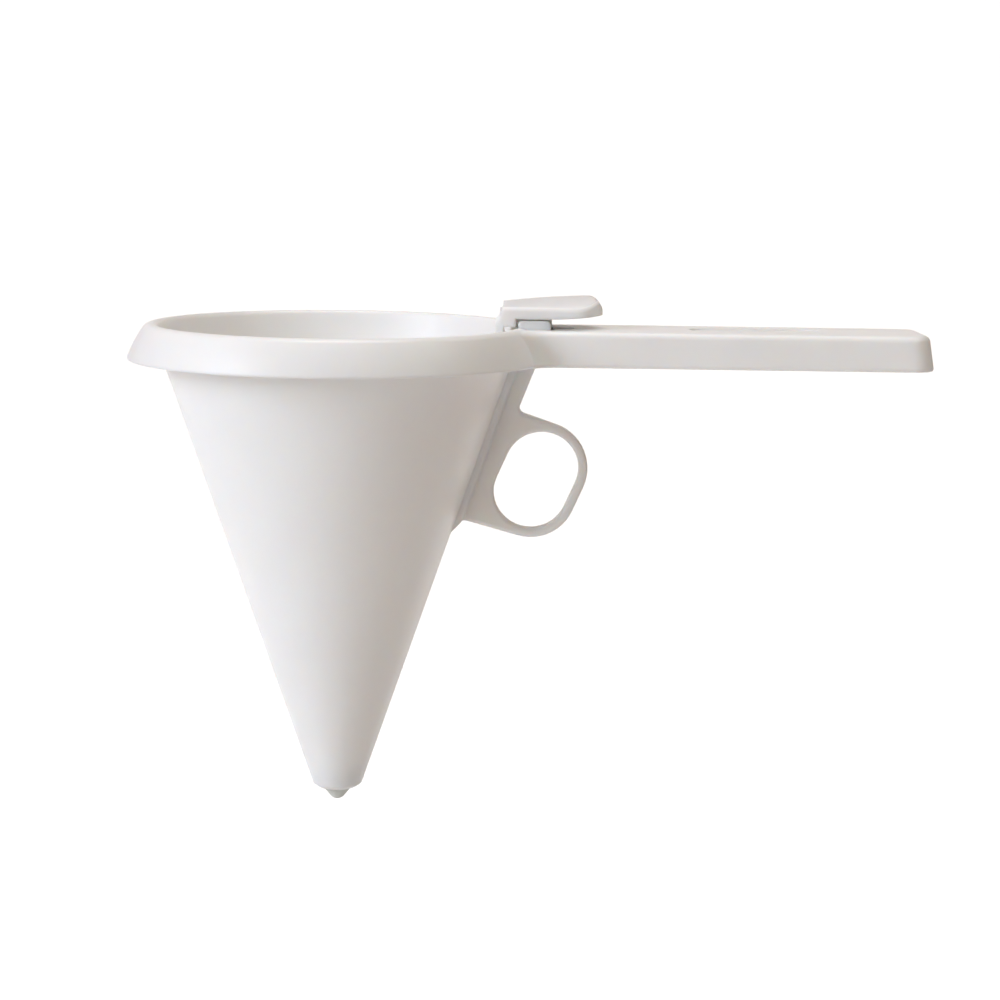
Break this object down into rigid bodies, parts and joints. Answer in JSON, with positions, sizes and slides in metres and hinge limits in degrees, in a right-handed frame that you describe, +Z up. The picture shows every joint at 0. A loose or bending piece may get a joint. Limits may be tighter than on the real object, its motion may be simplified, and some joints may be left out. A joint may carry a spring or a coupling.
{
  "type": "piston funnel",
  "caption": "White plastic hand-held dispensing funnel: a thumb lever on the handle lifts an inner rod and stopper out of the outlet.",
  "frame": {"origin": "centre of the mouth, on the cone's axis in the plane of the rim's crest", "axes": "+Z up along the cone's axis, +X along the handle, +Y to the left of someone who looks along the handle away from the cone"},
  "size_m": [0.2037, 0.1066, 0.1332],
  "materials": {
    "body_white": "satin moulded",
    "lever_white": "satin moulded",
    "rod_white": "satin moulded",
    "steel": "drawn wire",
    "stopper_grey": "soft satin"
  },
  "bodies": {
    "funnel": {"funnel_body": "body_white", "lever_pin": "steel", "return_spring": "steel"},
    "lever": {"thumb_lever": "lever_white", "link_pin": "steel"},
    "rod": {"lift_rod": "rod_white", "stopper_plug": "stopper_grey"}
  },
  "joints": [
    {"name": "lever_press", "type": "hinge", "parent": "funnel", "child": "lever", "pos_m": [0.0529, 0, 0.00075], "axis": [0, 1, 0], "range_deg": [0, 13], "stiffness_Nm_per_rad": 0.02, "springref_deg": -20.05, "deforming": ["return_spring"]},
    {"name": "rod_lift", "type": "slide", "parent": "funnel", "child": "rod", "axis": [0.3231, 0, 0.9464], "range_m": [0, 0.00284]}
  ],
  "couplings": [
    {"joint": "lever_press", "follows": "rod_lift", "rad_per_m": 79.7}
  ]
}
